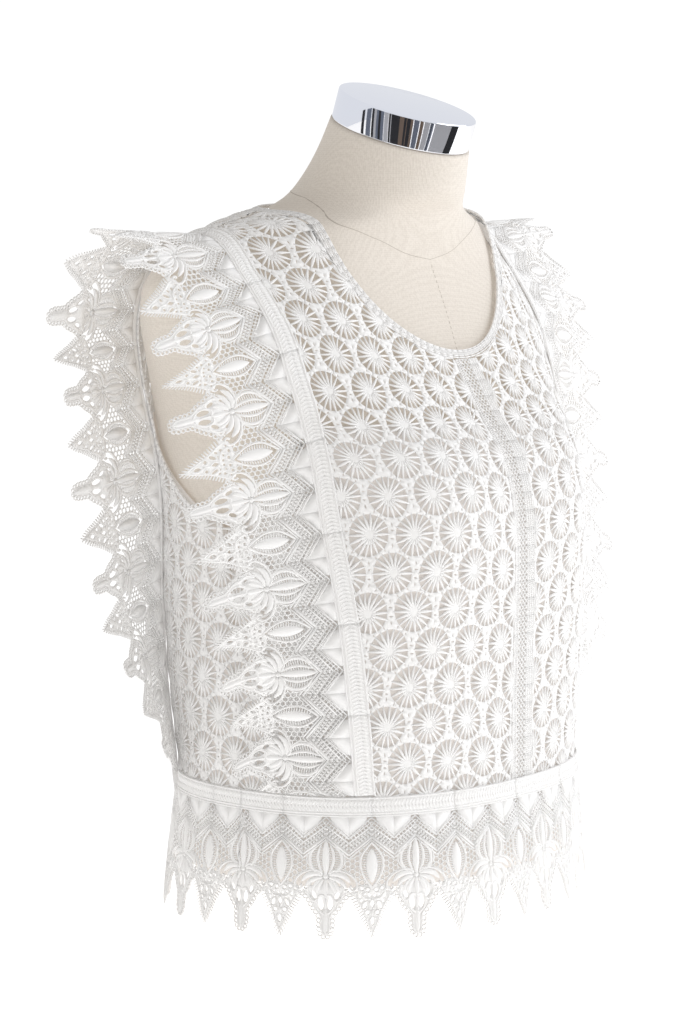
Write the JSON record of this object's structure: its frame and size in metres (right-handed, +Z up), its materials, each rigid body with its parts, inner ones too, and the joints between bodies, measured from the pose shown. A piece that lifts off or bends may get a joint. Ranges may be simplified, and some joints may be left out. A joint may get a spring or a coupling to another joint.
{
  "type": "crochet top on dress form",
  "caption": "Sleeveless cropped top of white crochet lace with pointed lace borders over the shoulders and round the hem, worn by a limbless dress form on a low base.",
  "frame": {"origin": "on the floor, under the middle of the dress form's base", "axes": "+Z up; the wearer faces -Y and the wearer's left is +X"},
  "size_m": [0.4756, 0.2683, 0.5753],
  "materials": {
    "white_lace": "matt cotton crochet lace",
    "white_lining": "matt woven lining",
    "cream_linen": "plain woven linen cover",
    "polished_cap": "mirror polished"
  },
  "bodies": {
    "root": {"back_panel": "white_lace", "border_strip_left": "white_lace", "border_strip_right": "white_lace", "front_insertion": "white_lace", "front_panel_left": "white_lace", "front_panel_right": "white_lace", "hem_border_back": "white_lace", "hem_border_front": "white_lace", "side_panel_left": "white_lace", "side_panel_right": "white_lace", "armhole_binding_left": "white_lace", "armhole_binding_right": "white_lace", "neck_binding": "white_lace", "lining_back": "white_lining", "lining_front": "white_lining", "form_base": "cream_linen", "form_torso": "cream_linen", "form_neck_cap": "polished_cap"}
  },
  "joints": []
}
